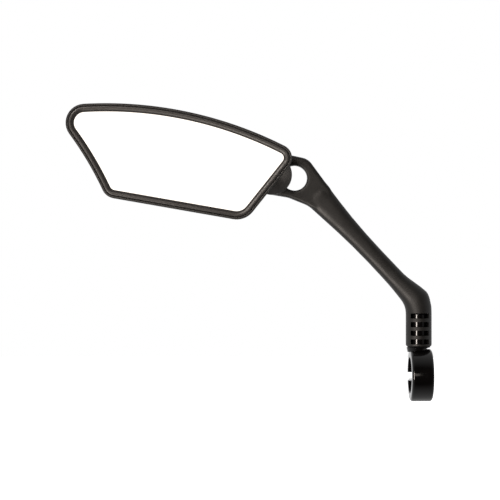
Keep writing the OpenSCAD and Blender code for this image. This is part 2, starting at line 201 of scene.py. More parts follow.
def moulded(name, dark, light, roughness, grain_mm, grain_depth_mm, patch_mm=9):
    """A moulded plastic: the fine grain of its mould, with slow changes of shade and of gloss over it."""
    material, tree, shader, place = new_material(name)
    patches = add_node(tree, "ShaderNodeTexNoise",
                       inputs={"Vector": place, "Scale": 1 / (patch_mm * MM), "Detail": 3})
    grain = add_node(tree, "ShaderNodeTexNoise",
                     inputs={"Vector": place, "Scale": 1 / (grain_mm * MM), "Detail": 2, "Roughness": 0.6})
    shade = add_node(tree, "ShaderNodeValToRGB", inputs={"Fac": patches.outputs["Fac"]})
    shade.color_ramp.elements[0].position = 0.3
    shade.color_ramp.elements[0].color = srgb(dark)
    shade.color_ramp.elements[1].position = 0.7
    shade.color_ramp.elements[1].color = srgb(light)
    gloss = add_node(tree, "ShaderNodeMapRange",
                     inputs={"Value": patches.outputs["Fac"], "From Min": 0.3, "From Max": 0.7,
                             "To Min": roughness * 0.9, "To Max": roughness * 1.12})
    relief = add_node(tree, "ShaderNodeBump",
                      inputs={"Height": grain.outputs["Fac"], "Distance": grain_depth_mm * MM})
    tree.links.new(shade.outputs["Color"], shader.inputs["Base Color"])
    tree.links.new(gloss.outputs["Result"], shader.inputs["Roughness"])
    tree.links.new(relief.outputs["Normal"], shader.inputs["Normal"])
    shader.inputs["IOR"].default_value = 1.5
    return material


rim = turned([(bar_r, -ring_half_w), (ring_r, -ring_half_w), (ring_r, ring_half_w), (bar_r, ring_half_w)],
             steps=144, closed=True)
outer_edges = [edge for edge in rim.edges
               if all(abs(vert.co.xy.length - ring_r) < WELD and abs(vert.co.z) > ring_half_w - WELD
                      for vert in edge.verts) and abs(edge.verts[0].co.z - edge.verts[1].co.z) < WELD]
bmesh.ops.bevel(rim, geom=outer_edges, offset=ring_edge_r, offset_type="OFFSET", affect="EDGES",
                segments=6, profile=0.5, material=-1)
ring = placed(rim, (0, 0, 0), 90, "Y")

ear_corners = [(-ear_half_w, bar_r + 1.1), (ear_half_w, bar_r + 1.1),
               (ear_half_w, screw_y + ear_half_w), (-ear_half_w, screw_y + ear_half_w)]
ear_radii = [0, 0, ear_half_w - 0.01, ear_half_w - 0.01]
for ear_low in (split_low - ear_t, split_high):
    ring = combined(ring, plate(ear_corners, ear_radii, ear_low, ear_low + ear_t), "UNION")

collar = turned([(0, bar_r), (collar_r - collar_taper * (collar_top - bar_r), bar_r), (collar_r, collar_top),
                 (0, collar_top)])
cut = bmesh.ops.bisect_plane(collar, geom=collar.verts[:] + collar.edges[:] + collar.faces[:],
                             plane_co=(0, 0, collar_foot), clear_inner=True,
                             plane_no=(-math.sin(collar_slope), 0, math.cos(collar_slope)))
bmesh.ops.edgeloop_fill(collar, edges=[part for part in cut["geom_cut"]
                                       if isinstance(part, bmesh.types.BMEdge)])
ring = combined(ring, placed(collar, (post_x, 0, 0)), "UNION")
post = turned([(0, bar_r + 2), (post_r, bar_r + 2), (post_r, post_top), (0, post_top)])
ring = combined(ring, placed(post, (post_x, 0, 0)), "UNION")

ring = combined(ring, plate([(-ring_r, bar_r / 2), (ring_r, bar_r / 2), (ring_r, 2 * ring_r),
                             (-ring_r, 2 * ring_r)], [0] * 4, split_low, split_high), "DIFFERENCE")
bolt_way = turned([(0, bar_r - 2), (counterbore_r, bar_r - 2), (counterbore_r, counterbore_top),
                   (bolt_way_r, counterbore_top), (bolt_way_r, post_top + 1), (0, post_top + 1)], steps=48)
ring = combined(ring, placed(bolt_way, (post_x, 0, 0)), "DIFFERENCE")
ear_seat = split_low - ear_t
ear_top = split_high + ear_t
screw_way = turned([(0, ear_seat - 1), (screw_way_r, ear_seat - 1), (screw_way_r, ear_top + 1),
                    (0, ear_top + 1)], steps=48)
ring = combined(ring, placed(screw_way, (0, screw_y, 0)), "DIFFERENCE")
nut_pocket = hexagon(screw_nut_flats + 0.1, ear_top - screw_nut_t, ear_top + 1)
ring = combined(ring, placed(nut_pocket, (0, screw_y, 0)), "DIFFERENCE")

# Gloss-moulded nylon: deep black with a faint waviness of about 2 mm, as thick mouldings have where
# they shrink, so that its reflections are clear but not perfectly straight.
gloss_nylon = moulded("gloss_moulded_nylon", "#0b0a0a", "#100f0f", 0.12, 2.0, 0.002)
clamp_ring = finished(ring, "ring", gloss_nylon, edge_break=0.3)
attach(clamp_ring, "clamp")
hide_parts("clamp_ring")

# ---- Clamp screw, washer and nut ----
# An M4 socket head screw in blackened steel goes up through both ears from below, on a plated
# washer, into a plated nut that is held in a pocket in the upper ear.


def threaded(radius, pitch, low, high, steps=24):
    """A screw thread about Z: one pitch of it is spun and lifted, then cut square at both ends."""
    root = radius - 0.6 * pitch
    start = low - 1.5 * pitch
    solid = bmesh.new()
    verts = [solid.verts.new((r, 0, start + share * pitch))
             for r, share in ((root, 0), (radius, 0.44), (radius, 0.56), (root, 1))]
    edges = [solid.edges.new(pair) for pair in zip(verts, verts[1:])]
    turns = math.ceil((high - low) / pitch) + 3
    bmesh.ops.spin(solid, geom=verts + edges, axis=(0, 0, 1), dvec=(0, 0, pitch / steps),
                   angle=FULL_TURN * turns, steps=steps * turns)
    bmesh.ops.remove_doubles(solid, verts=solid.verts, dist=WELD)
    for height, side in ((low, -1), (high, 1)):
        cut = bmesh.ops.bisect_plane(solid, geom=solid.verts[:] + solid.edges[:] + solid.faces[:],
                                     plane_co=(0, 0, height), plane_no=(0, 0, side), clear_outer=True)
        bmesh.ops.contextual_create(solid, geom=[part for part in cut["geom_cut"]
                                                 if isinstance(part, bmesh.types.BMEdge)])
    bmesh.ops.recalc_face_normals(solid, faces=solid.faces)
    return solid


def washer(inner, outer, low, high):
    """A flat washer about Z."""
    return turned([(inner, low), (outer, low), (outer, high), (inner, high)], steps=64, closed=True)


def nut(across_flats, bore, low, high):
    """A hexagonal nut about Z, chamfered where its corners meet its ends."""
    corner = across_flats / 2 / math.cos(math.pi / 6)
    flat = across_flats / 2 * 0.96
    drop = (corner - flat) * math.tan(math.radians(30))
    barrel = turned([(0, low), (flat, low), (corner + 0.05, low + drop), (corner + 0.05, high - drop),
                     (flat, high), (0, high)], steps=64)
    body = combined(hexagon(across_flats, low - 0.1, high + 0.1), barrel, "INTERSECT")
    lead = 0.35
    hole = turned([(0, low - 1), (bore + lead + 1, low - 1), (bore, low + lead), (bore, high - lead),
                   (bore + lead + 1, high + 1), (0, high + 1)], steps=48)
    return combined(body, hole, "DIFFERENCE")


def plated_steel(name, light, dark, roughness):
    """Steel under a thin finish: a fine even relief and soft patches of tint and gloss."""
    material, tree, shader, place = new_material(name)
    patches = add_node(tree, "ShaderNodeTexNoise",
                       inputs={"Vector": place, "Scale": 1 / (2.5 * MM), "Detail": 4})
    tint = add_node(tree, "ShaderNodeValToRGB", inputs={"Fac": patches.outputs["Fac"]})
    tint.color_ramp.elements[0].position = 0.35
    tint.color_ramp.elements[0].color = srgb(dark)
    tint.color_ramp.elements[1].position = 0.65
    tint.color_ramp.elements[1].color = srgb(light)
    gloss = add_node(tree, "ShaderNodeMapRange",
                     inputs={"Value": patches.outputs["Fac"], "From Min": 0.3, "From Max": 0.7,
                             "To Min": roughness * 0.8, "To Max": roughness * 1.25})
    scratches = add_node(tree, "ShaderNodeTexNoise",
                         inputs={"Vector": place, "Scale": 1 / (0.25 * MM), "Detail": 2})
    relief = add_node(tree, "ShaderNodeBump",
                      inputs={"Height": scratches.outputs["Fac"], "Distance": 0.004 * MM})
    tree.links.new(tint.outputs["Color"], shader.inputs["Base Color"])
    tree.links.new(gloss.outputs["Result"], shader.inputs["Roughness"])
    tree.links.new(relief.outputs["Normal"], shader.inputs["Normal"])
    shader.inputs["Metallic"].default_value = 1.0
    return material


washer_t = 0.8
head_r = 3.5
head_h = 4
head_top = ear_seat - washer_t - 0.05
screw_end = ear_top + 0.6

# Bright zinc plating: a cool grey metal that mirrors softly, a little uneven in tint.
zinc = plated_steel("zinc_plated_steel", "#b9bdc2", "#9aa0a8", 0.3)
# Black oxide: a thin oiled skin on the steel, so it still shines like metal but very dark.
black_oxide = plated_steel("black_oxide_steel", "#3c3b3d", "#29282a", 0.36)

knurl_count = 36
head = turned([(0, head_top - head_h), (head_r - 0.4, head_top - head_h), (head_r, head_top - head_h + 0.4),
               (head_r, head_top - 0.25), (head_r - 0.25, head_top), (0, head_top)], steps=2 * knurl_count)
for vert in head.verts:
    around = math.atan2(vert.co.y, vert.co.x) / FULL_TURN * 2 * knurl_count
    if vert.co.xy.length > head_r - 0.05 and round(around) % 2:
        vert.co.xy *= 0.955
head = combined(head, hexagon(3, head_top - head_h - 1, head_top - head_h + 2), "DIFFERENCE")
screw = combined(head, threaded(m4_r, m4_pitch, head_top - 0.5, screw_end), "UNION")
clamp_screw = finished(placed(screw, (0, screw_y, 0)), "socket_head_screw", black_oxide)
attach(clamp_screw, "screw")
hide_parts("clamp_screw")

flat_washer = placed(washer(screw_way_r, 4.4, ear_seat - washer_t, ear_seat), (0, screw_y, 0))
clamp_washer = finished(flat_washer, "flat_washer", zinc, edge_break=0.12)
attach(clamp_washer, "clamp")
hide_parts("clamp_washer")

captive_nut = placed(nut(screw_nut_flats, 2.05, ear_top - screw_nut_t, ear_top), (0, screw_y, 0))
clamp_nut = finished(captive_nut, "captive_nut", zinc)
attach(clamp_nut, "clamp")
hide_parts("clamp_nut")

# ---- Stem and its brass insert ----
# One matt black glass-filled nylon moulding: a plate with a round eye at the top, a slim beam, an
# elbow, and the sleeve that turns on the post, with four windows in its front. A knurled brass nut
# is moulded in above the sleeve.

sleeve_r = 7.7
sleeve_low = 17.75
eye = Vector((-77.8, 0, 121.5))
eye_r = 7.7
plate_half_t = 3.6
insert_r = 3.6
insert_low, insert_high = 39.1, 45.1
window_half_w = 5.55
window_h = 3.2
window_pitch = 5.3
window_low = 19.3
window_count = 4

stud_low, stud_high = (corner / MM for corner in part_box("ball_stud"))
ball_r = 5
ball = Vector(((stud_low.x + stud_high.x) / 2, stud_low.y + ball_r, (stud_low.z + stud_high.z) / 2))

# Each station down the stem: x, z, half width, half thickness, slope of the axis in degrees, and the
# power that squares the section up, which is 1 where it is round.
stations = [(-70.1, 117, 7.9, 2.4, -42, 0.8), (-63.3, 110.7, 8.4, 4, -43.6, 0.8),
            (-55.5, 102.1, 7.25, 4.4, -46.5, 0.8), (-46.95, 92.95, 6.2, 4.6, -46.8, 0.8),
            (-37.9, 83.4, 5.5, 4.8, -46.8, 0.8), (-28.75, 73.75, 5.25, 5, -46.6, 0.8),
            (-19.5, 63.9, 5.3, 5.4, -46.8, 0.8), (-14.55, 58.55, 5.45, 5.8, -47.5, 0.85),
            (-12.15, 56.15, 5.75, 6.1, -50, 0.88), (-6.7, 51.2, 7, 6.8, -59.4, 0.93),
            (-3.75, 48.3, 7.8, 7.3, -66, 0.97), (-2.95, 46.9, 7.95, 7.45, -70, 0.98),
            (-2.3, 45.3, 7.9, 7.6, -74, 1),
            (-1.35, 41.4, 7.8, 7.7, -84, 1), (post_x, 38, sleeve_r, sleeve_r, -90, 1),
            (post_x, sleeve_low, sleeve_r, sleeve_r, -90, 1)]
# The eye plate is three flat webs, each stretched round two or three of these discs of x, z and
# radius. Blending the joints takes a little off the whole piece, which is given back beforehand.
plate_end = (ball.x, ball.z + 1.7, 12.9)
plate_shoulder = (-74.9, 124.9, 9.1)
plate_belly = (-78.5, 121, 11.6)
plate_neck = (-66.3, 113.3, 9)
plate_root = (-63.3, 110.7, 8.4)
blend_loss = 0.3


def skinned(solid, rings, closed=False):
    """Skins a row of rings of corners, and caps the two ends or joins the last ring to the first."""
    pairs = list(zip(rings, rings[1:]))
    if closed:
        pairs.append((rings[-1], rings[0]))
    else:
        solid.faces.new(rings[0])
        solid.faces.new(rings[-1])
    for near, far in pairs:
        for k in range(len(near)):
            solid.faces.new((near[k - 1], near[k], far[k], far[k - 1]))
    bmesh.ops.recalc_face_normals(solid, faces=solid.faces)
    return solid


def stem_section(solid, x, z, half_width, half_thickness, slope, power):
    """One section of the stem, square to its axis, as a ring of corners."""
    ring_verts = bmesh.ops.create_circle(solid, segments=40, radius=1)["verts"]
    for vert in ring_verts:
        vert.co.x = math.copysign(abs(vert.co.x) ** power, vert.co.x) * (half_width + blend_loss)
        vert.co.y = math.copysign(abs(vert.co.y) ** power, vert.co.y) * (half_thickness + blend_loss)
    along = math.radians(slope)
    across = Vector((-math.sin(along), 0, math.cos(along)))
    for vert in ring_verts:
        vert.co = Vector((x, 0, z)) + across * vert.co.x + Vector((0, vert.co.y, 0))
    return ring_verts


def web(discs):
    """A flat web of the eye plate, stretched round some discs, with its rims well rounded."""
    solid = bmesh.new()
    for x, z, radius in discs:
        for depth in (-plate_half_t - blend_loss, plate_half_t + blend_loss):
            bmesh.ops.create_circle(solid, segments=64, radius=radius + blend_loss,
                                    matrix=Matrix.Translation((x, depth, z))
                                    @ Matrix.Rotation(math.radians(90), 4, "X"))
    hull = bmesh.ops.convex_hull(solid, input=solid.verts)
    bmesh.ops.delete(solid, geom=[part for part in hull["geom_interior"] + hull["geom_unused"]
                                  if isinstance(part, bmesh.types.BMVert)], context="VERTS")
    bmesh.ops.recalc_face_normals(solid, faces=solid.faces)
    bmesh.ops.dissolve_limit(solid, angle_limit=math.radians(1), verts=solid.verts, edges=solid.edges)
    rims = [edge for edge in solid.edges if edge.calc_face_angle(0) > math.radians(60)]
    bmesh.ops.bevel(solid, geom=rims, offset=1.5, offset_type="OFFSET", affect="EDGES", segments=4,
                    profile=0.5, material=-1)
    return solid


def softened(solid, voxel, rounds):
    """Runs a solid's joints into each other, as a mould's hand-blended corners do."""
    mesh = bpy.data.meshes.new("blank")
    solid.to_mesh(mesh)
    solid.free()
    blank = bpy.data.objects.new("blank", mesh)
    bpy.context.collection.objects.link(blank)
    remesh = blank.modifiers.new("blend", "REMESH")
    remesh.mode = "VOXEL"
    remesh.voxel_size = voxel
    result = bmesh.new()
    result.from_object(blank, bpy.context.evaluated_depsgraph_get())
    bpy.data.meshes.remove(mesh)
    for _ in range(rounds):
        bmesh.ops.smooth_vert(result, verts=result.verts, factor=0.5, use_axis_x=True, use_axis_y=True,
                              use_axis_z=True)
    return result


beam = bmesh.new()
skinned(beam, [stem_section(beam, *station) for station in stations])
stem = combined(beam, web((plate_end, plate_shoulder, plate_belly)), "UNION")
stem = combined(stem, web((plate_shoulder, plate_belly, plate_neck)), "UNION")
stem = combined(stem, web((plate_neck, plate_root)), "UNION")
eye_way = turned([(0, -sleeve_r), (eye_r, -sleeve_r), (eye_r, sleeve_r), (0, sleeve_r)], steps=96)
stem = combined(stem, placed(eye_way, eye, -90), "DIFFERENCE")
stem = softened(stem, 0.45, 14)

bore_r = post_r + 0.05
bore = turned([(0, sleeve_low - 1), (bore_r, sleeve_low - 1), (bore_r, post_top + 0.5),
               (bolt_way_r, post_top + 0.5), (bolt_way_r, insert_low), (insert_r, insert_low),
               (insert_r, insert_high), (0, insert_high)])
cutters = placed(bore, (post_x, 0, 0))
for number in range(window_count):
    low = window_low + number * window_pitch
    window = plate([(-window_half_w, low), (window_half_w, low), (window_half_w, low + window_h),
                    (-window_half_w, low + window_h)], [0.5] * 4, 0, 2 * sleeve_r, segments=3)
    cutters = combined(cutters, placed(window, (post_x, 0, 0), 90), "UNION")
stem = combined(stem, cutters, "DIFFERENCE")
stud_way = turned([(0, -sleeve_r), (bolt_way_r, -sleeve_r), (bolt_way_r, sleeve_r), (0, sleeve_r)], steps=48)
stem = combined(stem, placed(stud_way, (ball.x, 0, ball.z), -90), "DIFFERENCE")

# Spark-eroded mould on glass-filled nylon: a satin black with a fine even grain. The real grain is
# about 0.1 mm, and is drawn at 0.35 mm so that it still shows.
satin_nylon = moulded("spark_textured_nylon", "#171615", "#1c1b1a", 0.46, 0.35, 0.006)
stem_arm = finished(stem, "stem", satin_nylon)
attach(stem_arm, "stem")
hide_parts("stem_arm")

# Drawn brass: a warm yellow metal with a soft turned finish.
brass = plated_steel("turned_brass", "#c9a155", "#b48a3e", 0.28)
tooth_count = 30
insert = turned([(2.5, insert_low), (insert_r - 0.3, insert_low), (insert_r, insert_low + 0.5),
                 (insert_r, insert_low + 2.8), (insert_r - 0.7, insert_low + 3.1),
                 (insert_r - 0.7, insert_high - 3.1), (insert_r, insert_high - 2.8),
                 (insert_r, insert_high - 0.5), (insert_r - 0.3, insert_high), (2.5, insert_high)],
                steps=2 * tooth_count, closed=True)
for vert in insert.verts:
    around = math.atan2(vert.co.y, vert.co.x) / FULL_TURN * 2 * tooth_count
    if vert.co.xy.length > insert_r - 0.05 and round(around) % 2:
        vert.co.xy *= 0.93
threaded_insert = finished(placed(insert, (post_x, 0, 0)), "brass_insert", brass)
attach(threaded_insert, "stem")
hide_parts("threaded_insert")

# ---- Swivel bolt and its washers ----
# A low-headed M5 bolt goes in from the ring's bore, up the post into the brass insert. A split
# spring washer under its head presses the sleeve down on a thin nylon washer, which gives the drag.

bolt_low = 11.35
bolt_head_h = 3.4
bolt_head_r = 4.25
bolt_top = insert_high - 0.5
bolt_head = turned([(0, bolt_low), (bolt_head_r - 0.3, bolt_low), (bolt_head_r, bolt_low + 0.3),
                    (bolt_head_r, bolt_low + bolt_head_h), (0, bolt_low + bolt_head_h)], steps=72)
bolt_head = combined(bolt_head, hexagon(3, bolt_low - 1, bolt_low + 2), "DIFFERENCE")
bolt_thread = threaded(m5_r, m5_pitch, bolt_low + bolt_head_h - 0.5, bolt_top)
bolt = combined(bolt_head, bolt_thread, "UNION")
swivel_bolt = finished(placed(bolt, (post_x, 0, 0)), "swivel_bolt_m5", zinc)
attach(swivel_bolt, "stem")
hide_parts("swivel_bolt")

coil_low = bolt_low + bolt_head_h
coil_t = 0.78
coil_rise = 0.1
coil_steps = 90
coil = bmesh.new()
coil_verts = [coil.verts.new((radius, 0, height)) for radius, height in
              ((2.65, coil_low), (bolt_head_r - 0.1, coil_low), (bolt_head_r - 0.1, coil_low + coil_t),
               (2.65, coil_low + coil_t))]
coil_face = coil.faces.new(coil_verts)
bmesh.ops.spin(coil, geom=[coil_face] + coil_face.edges[:] + coil_verts, axis=(0, 0, 1),
               angle=math.radians(350), dvec=(0, 0, coil_rise / coil_steps), steps=coil_steps)
bmesh.ops.recalc_face_normals(coil, faces=coil.faces)
spring_washer = finished(placed(coil, (post_x, 0, 0)), "split_spring_washer", zinc, edge_break=0.08)
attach(spring_washer, "stem")
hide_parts("bolt_spring_washer")

# Black nylon sheet: dull and faintly waxy, punched from a strip.
washer_nylon = moulded("punched_black_nylon", "#17171a", "#1e1e22", 0.5, 0.6, 0.006)
drag_washer = placed(washer(bore_r, 7, collar_top + 0.05, sleeve_low), (post_x, 0, 0))
sleeve_washer = finished(drag_washer, "drag_washer", washer_nylon, edge_break=0.06)
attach(sleeve_washer, "stem")
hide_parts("sleeve_washer")

# ---- Ball stud, washer and nut ----
# A turned steel stud: a 10 mm ball, a neck, and a flange that the eye plate is pulled up against.
# Its M5 thread goes through the plate to a plated washer and nut behind it.

neck_r = m5_r
flange_r = 4.6
flange_back = -plate_half_t - 0.05 - ball.y
flange_front = flange_back - 1.3
thread_from = plate_half_t - ball.y
stud_end = 10.2 - ball.y
neck_angle = math.asin(neck_r / ball_r)
ball_arc = [(ball_r * math.sin(a), -ball_r * math.cos(a)) for a in
            (k / 24 * (math.pi - neck_angle) for k in range(25))]
stud = turned(ball_arc + [(neck_r, flange_front), (flange_r - 0.3, flange_front),
                          (flange_r, flange_front + 0.3), (flange_r, flange_back), (neck_r, flange_back),
                          (neck_r, thread_from), (0, thread_from)], steps=72)
# The rolled thread comes out a little thinner than the neck.
stud_thread_r = neck_r - 0.03
stud = combined(stud, threaded(stud_thread_r, m5_pitch, thread_from - 0.5, stud_end), "UNION")

# Polished steel: the ball is ground bright so that it turns freely in its cup.
bright_steel = plated_steel("ground_bright_steel", "#c4c6c8", "#b0b3b6", 0.16)
ball_stud = finished(placed(stud, ball, -90), "stud", bright_steel)
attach(ball_stud, "stud")
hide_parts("ball_stud")

back_face = plate_half_t + 0.05
stud_washer_t = 1
plain_washer = placed(washer(neck_r + 0.02, 5, back_face, back_face + stud_washer_t),
                      (ball.x, 0, ball.z), -90)
stud_washer = finished(plain_washer, "plain_washer", zinc, edge_break=0.12)
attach(stud_washer, "stud")
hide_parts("stud_washer")

nut_low = back_face + stud_washer_t
lock_nut_flats = 8
lock_nut_t = 4.7
lock_nut = placed(nut(lock_nut_flats, neck_r + 0.02, nut_low, nut_low + lock_nut_t), (ball.x, 0, ball.z), -90)
stud_nut = finished(lock_nut, "lock_nut", zinc)
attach(stud_nut, "stud")
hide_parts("stud_nut")

# ---- Ball liner ----
# A thin cup of natural acetal round the ball, which takes up the play and gives the head its drag.

liner_in_r = 5.03
liner_out_r = 6.2
liner_mouth_r = 4.6


def cup_arc(radius, steps):
    """The half section of a ball from its front pole back to the cup's mouth."""
    last = math.pi - math.asin(liner_mouth_r / radius)
    return [(radius * math.sin(last * k / steps), -radius * math.cos(last * k / steps))
            for k in range(steps + 1)]


cup = turned(cup_arc(liner_out_r, 24) + cup_arc(liner_in_r, 24)[::-1], steps=72)

# Natural acetal: milky white, slippery and slightly see-through at its edges.
acetal = moulded("natural_acetal", "#d2d0c6", "#dedcd3", 0.32, 1.2, 0.004)
acetal_shader = acetal.node_tree.nodes["Principled BSDF"]
acetal_shader.inputs["Subsurface Weight"].default_value = 0.2
acetal_shader.inputs["Subsurface Radius"].default_value = (1.2 * MM, 1.2 * MM, 1 * MM)
acetal_shader.inputs["Subsurface Scale"].default_value = 1.0
ball_liner = finished(placed(cup, ball, -90), "acetal_cup", acetal)
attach(ball_liner, "liner")
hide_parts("ball_liner")

# ---- Back shell ----
# A deep dish in black ABS with a matt back. Its rim shows as a thin lip round the frame, and the
# front half of the ball's socket stands on it as a round boss.

# The head's outline is six arcs that run into each other, measured from the ball, with a straight
# lower edge and a straight inner edge.
top_r, nose_r, outer_r, heel_r, toe_r, peak_r = 238.6, 11.4, 205, 8.6, 12.5, 8.1
outer_slope, lower_slope, inner_slope = (math.radians(slope) for slope in (53.8, 9.9, 51.4))


def aimed(angle, length=1.0):
    """A step in the head's plane, in a direction."""
    return Vector((length * math.cos(angle), length * math.sin(angle)))


def heading(step):
    return math.atan2(step.y, step.x)


def meets_circle(start, along, centre, radius, side):
    """Where a line first or last meets a circle, for a side of -1 or 1."""
    gap = centre - start
    reach = gap.dot(along)
    return start + along * (reach + side * math.sqrt(reach ** 2 - gap.length_squared + radius ** 2))


top_c = Vector((-100.2, 42.6 - top_r))
nose_c = Vector((-124.3 + nose_r, 0))
nose_c.y = top_c.y + math.sqrt((top_r - nose_r) ** 2 - (nose_c.x - top_c.x) ** 2)
outer_c = nose_c - (nose_r + outer_r) * Vector((math.sin(outer_slope), math.cos(outer_slope)))
toe = Vector((-16.3, -28.4))
heel_c = meets_circle(toe + heel_r * aimed(math.pi / 2 - lower_slope), aimed(math.pi - lower_slope), outer_c,
                      outer_r + heel_r, -1)
toe_half = (math.pi - lower_slope - inner_slope) / 2
toe_c = toe + aimed(inner_slope + toe_half, toe_r / math.sin(toe_half))
peak_c = meets_circle(toe + peak_r * aimed(inner_slope + math.pi / 2), aimed(inner_slope), top_c,
                      top_r - peak_r, 1)

peak_a = heading(peak_c - top_c)
nose_a = heading(nose_c - top_c)
outer_a0 = heading(nose_c - outer_c)
outer_a1 = heading(heel_c - outer_c)
lower_a = -math.pi / 2 - lower_slope
inner_a = -math.pi / 2 + inner_slope
# Centre, radius, whether an inset makes it smaller, first and last direction, steps, and whether a
# straight edge follows it
outline_arcs = [(top_c, top_r, -1, peak_a, nose_a, 40, False),
                (nose_c, nose_r, -1, nose_a, outer_a0 + math.pi, 12, False),
                (outer_c, outer_r, 1, outer_a0, outer_a1, 14, False),
                (heel_c, heel_r, -1, outer_a1 - math.pi, lower_a, 10, True),
                (toe_c, toe_r, -1, lower_a, inner_a, 10, True),
                (peak_c, peak_r, -1, inner_a, peak_a, 12, False)]


def outline(solid, inset, depth):
    """The head's outline, drawn parallel to itself arc by arc, as a ring of corners."""
    ring = []
    for centre, radius, sign, first, last, steps, straight_next in outline_arcs:
        for k in range(steps + straight_next):
            spot = centre + aimed(first + (last - first) * k / steps, radius + sign * inset)
            ring.append(solid.verts.new((ball.x + spot.x, depth, ball.z + spot.y)))
    return ring


def head_form(section, closed=False):
    """A solid in the head's outline, through (inset, depth) levels of its section."""
    solid = bmesh.new()
    return skinned(solid, [outline(solid, inset, depth) for inset, depth in section], closed)


def arc_section(inset, depth, radius_in, radius_deep, first, last, steps):
    """A round stretch of a section, as (inset, depth) points."""
    return [(inset + radius_in * math.cos(math.radians(first + (last - first) * k / steps)),
             depth + radius_deep * math.sin(math.radians(first + (last - first) * k / steps)))
            for k in range(steps + 1)]


shell_back = -14.5
shell_floor = -16.5
rim_front = -24.2
rim_t = 1.3
ledge = -19.2
lip = arc_section(1, rim_front + 0.9, 1, 0.9, 180, 270, 6) + [(rim_t, rim_front + 0.15)]
back_round = arc_section(4.6, shell_back - 4.2, 4.6, 4.2, 180, 90, 8)
dish = head_form(back_round[::-1] + lip + [(rim_t, shell_floor - 1.2), (rim_t + 1.1, shell_floor)])

seat_r = 6.25
boss_r = 12.1
boss_front = -7.45
dome_rise = shell_back - ball.y - boss_front
dome_r = (boss_r ** 2 + dome_rise ** 2) / dome_rise / 2
dome_half = math.asin(boss_r / dome_r)
dome = [(dome_r * math.sin(dome_half * k / 12), boss_front + dome_r * (1 - math.cos(dome_half * k / 12)))
        for k in range(13)]
boss = turned(dome + [(boss_r, 0), (0, 0)], steps=96)
ledge_out, ledge_in = 3.7, 5.2
ledge_foot = shell_floor + 0.5
ledge_ring = head_form([(ledge_out, ledge), (ledge_out, ledge_foot), (ledge_in, ledge_foot),
                        (ledge_in, ledge)], closed=True)
shell = combined(dish, ledge_ring, "UNION")
shell = combined(shell, placed(boss, ball, -90), "UNION")
# The ribs are drawn longer than the head is tall, then cut to its inside.
rib_count = 5
rib_pitch = 22
rib_t = 1.5
rib_reach = (-28, 42)
ribs = bmesh.new()
for number in range(1, rib_count + 1):
    rib_x = ball.x - rib_pitch * number
    rib_low, rib_high = (ball.z + reach for reach in rib_reach)
    rib = plate([(rib_x, rib_low), (rib_x + rib_t, rib_low), (rib_x + rib_t, rib_high), (rib_x, rib_high)],
                [0] * 4, -shell_floor - 0.2, -ledge - 0.2)
    mesh = bpy.data.meshes.new("blank")
    placed(rib, (0, 0, 0), 90).to_mesh(mesh)
    ribs.from_mesh(mesh)
    bpy.data.meshes.remove(mesh)
ribs = combined(ribs, head_form([(1, ledge - 1), (1, shell_floor + 1)]), "INTERSECT")
shell = combined(shell, ribs, "UNION")
seat_way = turned([(seat_r * math.sin(math.pi / 2 * k / 16), -seat_r * math.cos(math.pi / 2 * k / 16))
                   for k in range(17)] + [(seat_r, 1), (0, 1)], steps=96)
shell = combined(shell, placed(seat_way, ball, -90), "DIFFERENCE")
screw_circle_r = 9.2
small_screw_r = 1.1
small_screw_tip = -3.6
screw_spots = [(screw_circle_r * math.cos(angle), -screw_circle_r * math.sin(angle), 0)
               for angle in (math.radians(-30 - 120 * number) for number in range(3))]
for spot in screw_spots:
    pilot = turned([(0, small_screw_tip), (small_screw_r, small_screw_tip), (small_screw_r, 1), (0, 1)],
                   steps=24)
    shell = combined(shell, placed(placed(pilot, spot), ball, -90), "DIFFERENCE")

# Textured ABS: dead matt, with a leathery mould grain of about 0.4 mm.
matt_abs = moulded("textured_abs", "#191817", "#201e1d", 0.48, 0.4, 0.01)
back_shell = finished(shell, "shell", matt_abs)
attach(back_shell, "head")
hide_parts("back_shell")

# ---- Socket ring and its screws ----
# The rear half of the socket, moulded in the shell's plastic. Three small blackened screws pull it
# down on the liner, and its mouth lets the stud lean over.

socket_t = 3.6
socket_step = 1.8
socket_end_r = 8.6
screw_seat = 1.6
small_head_r = 2.0
small_head_h = 1.3
seat_arc = [(seat_r * math.sin(a), seat_r * math.cos(a)) for a in
            (math.acos(socket_t / seat_r) + (math.pi / 2 - math.acos(socket_t / seat_r)) * k / 12
             for k in range(13))]
socket = turned([(boss_r, 0), (boss_r, socket_step), (socket_end_r, socket_t)] + seat_arc, steps=96,
                closed=True)
screws = bmesh.new()
for spot in screw_spots:
    way = turned([(0, -1), (small_screw_r, -1), (small_screw_r, screw_seat), (small_head_r + 0.1, screw_seat),
                  (small_head_r + 0.1, socket_t + 1), (0, socket_t + 1)], steps=32)
    socket = combined(socket, placed(way, spot), "DIFFERENCE")
    small_head = turned([(0, screw_seat), (small_head_r, screw_seat),
                         (small_head_r, screw_seat + small_head_h * 0.55),
                         (small_head_r * 0.8, screw_seat + small_head_h * 0.9),
                         (small_head_r * 0.45, screw_seat + small_head_h), (0, screw_seat + small_head_h)],
                        steps=32)
    small_head = combined(small_head, hexagon(1.5, screw_seat + 0.4, screw_seat + 2), "DIFFERENCE")
    small = combined(small_head, threaded(small_screw_r, 0.8, small_screw_tip, screw_seat + 0.3), "UNION")
    mesh = bpy.data.meshes.new("blank")
    placed(small, spot).to_mesh(mesh)
    screws.from_mesh(mesh)
    bpy.data.meshes.remove(mesh)
socket_ring = finished(placed(socket, ball, -90), "socket_cover", matt_abs, edge_break=0.2)
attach(socket_ring, "head")
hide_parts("socket_ring")
socket_screws = finished(placed(screws, ball, -90), "cover_screws", black_oxide)
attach(socket_screws, "head")
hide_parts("socket_screws")

# ---- Glass carrier and adhesive pad ----
# A thin ABS plate rests on the shell's ledge, and a foam tape holds the glass on it.

